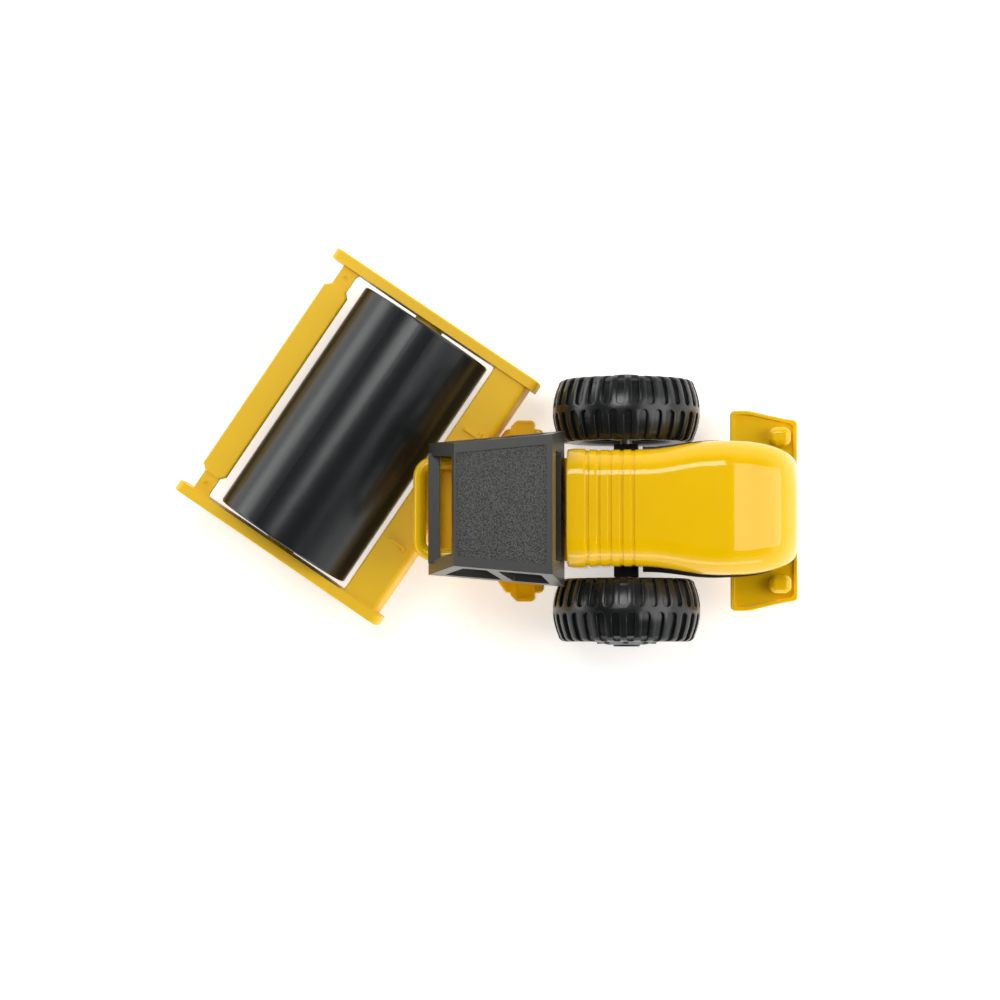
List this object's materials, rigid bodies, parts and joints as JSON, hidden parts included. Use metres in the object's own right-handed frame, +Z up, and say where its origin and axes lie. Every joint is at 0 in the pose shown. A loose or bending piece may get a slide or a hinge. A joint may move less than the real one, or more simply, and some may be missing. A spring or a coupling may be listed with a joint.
{
  "type": "toy road roller",
  "caption": "Toy single-drum soil compactor with a steered drum yoke, open cab, rounded hood and treaded rear tyres; drum, wheels and hitch turn.",
  "frame": {"origin": "centre of the bounding box's underside at rest, on the ground", "axes": "+Z up, -Y towards the drum's end of the tractor's centreline, +X to the tractor's left; the drum module rests at its right-hand steering stop"},
  "size_m": [0.1016, 0.1584, 0.058],
  "materials": {
    "yoke_yellow": "satin moulded yellow",
    "gloss_yellow": "glossy moulded yellow",
    "drum_black": "semi-gloss moulded black",
    "cab_black": "grained dark grey",
    "frame_black": "plain moulded black",
    "tyre_rubber": "moulded soft black",
    "steel": "drawn wire and turned pins",
    "bush_brass": "turned"
  },
  "bodies": {
    "tractor": {"rear_chassis": "gloss_yellow", "chassis_cover": "frame_black", "cover_screws": "steel", "hitch_pin": "steel", "hitch_circlip": "steel", "axle_housing": "frame_black", "cab_deck": "gloss_yellow", "cab_frame": "cab_black", "front_handrail": "gloss_yellow", "operator_console": "gloss_yellow", "steering_wheel": "cab_black", "operator_seat": "cab_black", "step_left": "gloss_yellow", "step_right": "gloss_yellow", "hood": "gloss_yellow", "engine_frame": "frame_black", "radiator_grille": "frame_black", "rear_bumper": "gloss_yellow"},
    "rear_wheels": {"rear_axle": "steel", "tyre_left": "tyre_rubber", "tyre_right": "tyre_rubber", "rim_left": "frame_black", "rim_right": "frame_black", "hub_cap_left": "frame_black", "hub_cap_right": "frame_black"},
    "drum_frame": {"drum_yoke": "yoke_yellow", "drum_pin_left": "steel", "drum_pin_right": "steel", "hitch_bush": "bush_brass"},
    "drum": {"drum_shell_front": "drum_black", "drum_shell_rear": "drum_black", "drum_disc_left": "drum_black", "drum_disc_right": "drum_black"}
  },
  "joints": [
    {"name": "steering", "type": "hinge", "parent": "tractor", "child": "drum_frame", "pos_m": [0.01627, -0.00474, 0.018], "axis": [0, 0, 1], "range_deg": [0, 68.4]},
    {"name": "drum_roll", "type": "hinge", "parent": "drum_frame", "child": "drum", "pos_m": [-0.00346, -0.03377, 0.0188], "axis": [0.8271, -0.5621, 0], "continuous": true},
    {"name": "rear_axle_roll", "type": "hinge", "parent": "tractor", "child": "rear_wheels", "pos_m": [0.01627, 0.03577, 0.01875], "axis": [1, 0, 0], "continuous": true}
  ]
}
